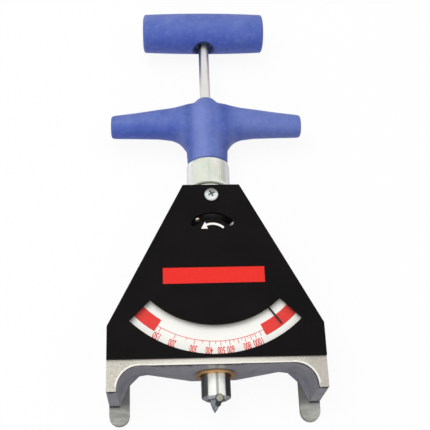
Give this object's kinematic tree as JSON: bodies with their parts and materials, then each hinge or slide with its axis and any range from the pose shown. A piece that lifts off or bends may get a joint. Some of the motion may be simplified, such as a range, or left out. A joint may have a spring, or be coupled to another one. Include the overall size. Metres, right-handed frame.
{
  "type": "belt tension gauge",
  "caption": "Hand-held belt tension gauge: T-handle plunger with spring-loaded hook, two-legged yoke body and arc dial with a pointer.",
  "frame": {"origin": "on the flat back of the yoke body, on the centre line, level with the lower edge of the face plate", "axes": "+X across the face to the reader's right, +Y along the plunger from the hook to the push handle, +Z out of the face; the gauge lies on its back"},
  "size_m": [0.12, 0.2694, 0.042],
  "materials": {
    "cast_aluminium": "as cast, machined edges",
    "black_paint": "satin black paint",
    "dial_white": "matt white print ground",
    "clear_plastic": "clear sheet",
    "bright_zinc": "bright zinc plate with a faint yellow cast",
    "bright_steel": "ground steel",
    "spring_steel": "oiled spring steel",
    "bronze": "sintered bronze",
    "blue_plastic": "moulded, faintly textured"
  },
  "bodies": {
    "frame": {"yoke_body": "cast_aluminium", "face_plate": "black_paint", "back_cover": "black_paint", "dial_plate": "dial_white", "window_lens": "clear_plastic", "face_screw": "bright_zinc", "lock_ring": "bright_zinc", "knurled_collar": "bright_zinc", "cover_screw_1": "bright_zinc", "cover_screw_2": "bright_zinc", "cover_screw_3": "bright_zinc", "cover_screw_4": "bright_zinc", "dial_screw_1": "bright_zinc", "dial_screw_2": "bright_zinc", "movement_screw_1": "bright_zinc", "movement_screw_2": "bright_zinc", "movement_screw_3": "bright_zinc", "movement_screw_4": "bright_zinc", "movement_plate": "bright_steel", "pointer_arbor": "bright_steel", "spring_tube": "bright_steel", "main_spring": "spring_steel", "sleeve_spring": "spring_steel", "arbor_clip": "spring_steel", "grip_set_screw": "spring_steel", "plunger_bush": "bronze", "rack_guide": "bronze", "friction_washer": "bronze", "rod_guide_bush": "bronze", "t_grip": "blue_plastic"},
    "hook": {"hook_tip": "bright_steel", "hook_pin": "bright_steel", "hook_stem": "bright_steel", "spring_seat": "bright_steel", "seat_pin": "spring_steel", "push_rod": "bright_steel", "cap_insert": "bronze", "t_cap": "blue_plastic"},
    "sleeve": {"feeler_sleeve": "bright_steel", "rack_bar": "bright_steel", "sleeve_nut": "bright_zinc"},
    "pinion_wheel": {"pinion": "bronze", "drive_arm": "bright_steel"},
    "pointer_needle": {"pointer": "black_paint", "reset_pin": "bright_steel"}
  },
  "joints": [
    {"name": "hook_slide", "type": "slide", "parent": "frame", "child": "hook", "axis": [0, -1, 0], "range_m": [0, 0.016], "stiffness_N_per_m": 4000, "springref_m": -0.02, "deforming": ["main_spring"]},
    {"name": "sleeve_slide", "type": "slide", "parent": "frame", "child": "sleeve", "axis": [0, 1, 0], "range_m": [0, 0.01], "stiffness_N_per_m": 500, "springref_m": -0.004, "deforming": ["sleeve_spring"]},
    {"name": "pinion_spin", "type": "hinge", "parent": "frame", "child": "pinion_wheel", "pos_m": [0, 0.0696, 0.0295], "axis": [0, 0, 1], "range_deg": [-76.5, 0]},
    {"name": "pointer_swing", "type": "hinge", "parent": "frame", "child": "pointer_needle", "pos_m": [0, 0.0696, 0.0365], "axis": [0, 0, 1], "range_deg": [-76.5, 0]}
  ],
  "couplings": [
    {"joint": "pinion_spin", "follows": "sleeve_slide", "rad_per_m": -133.33},
    {"joint": "pointer_swing", "follows": "sleeve_slide", "rad_per_m": -133.33}
  ]
}
